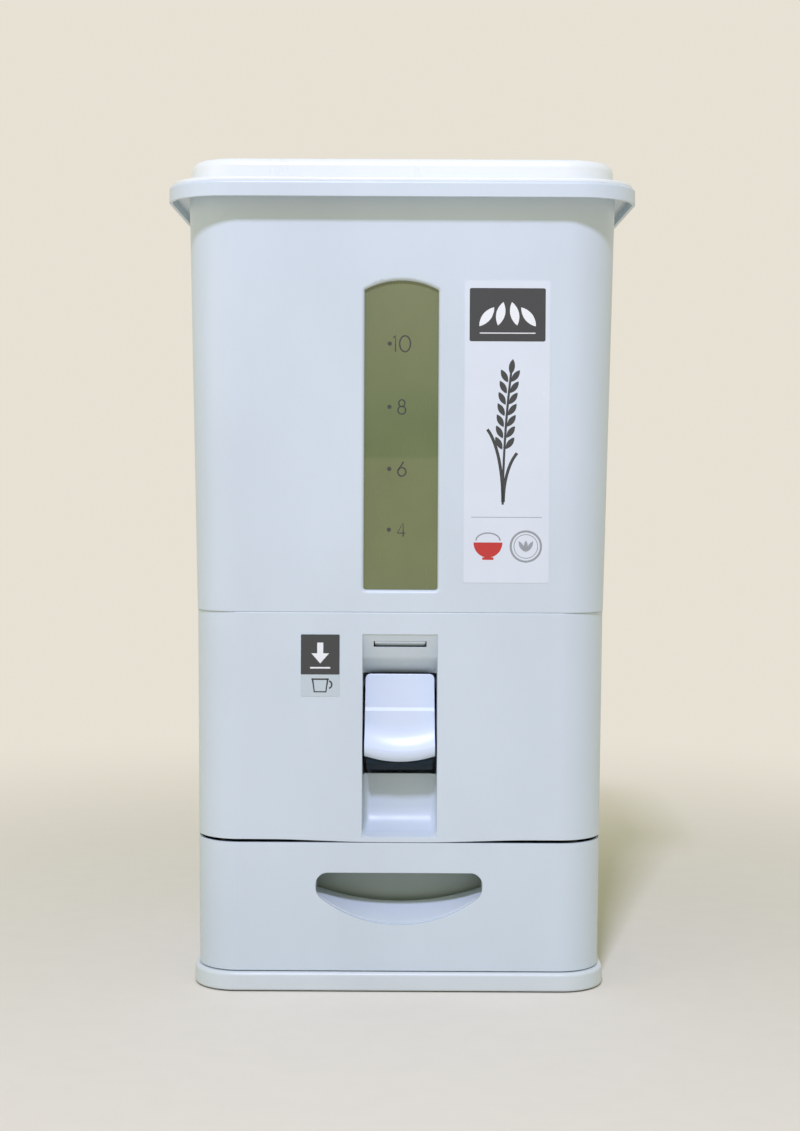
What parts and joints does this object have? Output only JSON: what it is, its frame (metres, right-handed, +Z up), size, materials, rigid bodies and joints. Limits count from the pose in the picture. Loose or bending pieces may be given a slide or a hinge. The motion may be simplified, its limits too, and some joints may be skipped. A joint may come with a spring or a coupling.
{
  "type": "rice dispenser with drawer",
  "caption": "Tall household rice hopper with a level window, a press lever that drops one measure through a shutter, and a pull-out drawer.",
  "frame": {"origin": "centre of the bounding box at the underside of the rubber feet", "axes": "+Z up along the height, +Y to the back so that the lever, window and drawer front face -Y, +X across the width"},
  "size_m": [0.375, 0.307, 0.6604],
  "materials": {
    "lid_white": "smooth gloss white",
    "seal_grey": "soft grey",
    "body_white": "smooth satin, cool white",
    "window_smoke": "tinted, see-through",
    "inner_white": "moulded",
    "label_film": "thin printed film",
    "screw_steel": "zinc plated",
    "lever_blue": "gloss, pale blue white",
    "skirt_dark": "soft dark dust skirt",
    "pin_steel": "ground steel",
    "spring_steel": "drawn wire",
    "slide_grey": "moulded",
    "base_white": "satin",
    "foot_rubber": "matte",
    "rail_grey": "low friction",
    "tub_grey": "satin grey-green"
  },
  "bodies": {
    "housing": {"hopper_shell": "body_white", "window_pane": "window_smoke", "window_retainer": "inner_white", "info_label": "label_film", "funnel": "inner_white", "funnel_gasket": "seal_grey", "funnel_screws": "screw_steel", "hopper_latch": "body_white", "lower_housing": "body_white", "dose_label": "label_film", "lever_shaft": "pin_steel", "shaft_clips": "pin_steel", "lever_spring": "spring_steel", "guide_rail_left": "inner_white", "guide_rail_right": "inner_white", "guide_screws": "screw_steel", "dosing_chamber": "inner_white", "chamber_screws": "screw_steel", "discharge_chute": "inner_white", "chute_screws": "screw_steel", "mechanism_deck": "inner_white", "deck_screws": "screw_steel", "base_tray": "base_white", "rubber_feet": "foot_rubber", "base_screws": "screw_steel", "drawer_rail_left": "rail_grey", "drawer_rail_right": "rail_grey", "rail_screws": "screw_steel"},
    "lever": {"press_lever": "lever_blue", "lever_skirt": "skirt_dark", "yoke_pin": "pin_steel"},
    "shutter": {"shutter_slide": "slide_grey"},
    "drawer": {"drawer_front": "body_white", "drawer_tub": "tub_grey", "drawer_screws": "screw_steel"},
    "lid_body": {"lid": "lid_white", "lid_seal": "seal_grey"}
  },
  "joints": [
    {"name": "lid_lift", "type": "slide", "parent": "housing", "child": "lid_body", "axis": [0, 0, 1], "range_m": [0, 0.12]},
    {"name": "lever_press", "type": "hinge", "parent": "housing", "child": "lever", "pos_m": [0, -0.08439, 0.243], "axis": [1, 0, 0], "range_deg": [0, 36], "stiffness_Nm_per_rad": 0.5, "springref_deg": -28.65, "deforming": ["lever_spring"]},
    {"name": "shutter_shift", "type": "slide", "parent": "housing", "child": "shutter", "axis": [0, 1, 0], "range_m": [0, 0.0381]},
    {"name": "drawer_slide", "type": "slide", "parent": "housing", "child": "drawer", "axis": [0, -1, 0], "range_m": [0, 0.13]}
  ],
  "couplings": [
    {"joint": "shutter_shift", "follows": "lever_press", "m_per_rad": 0.060479}
  ]
}
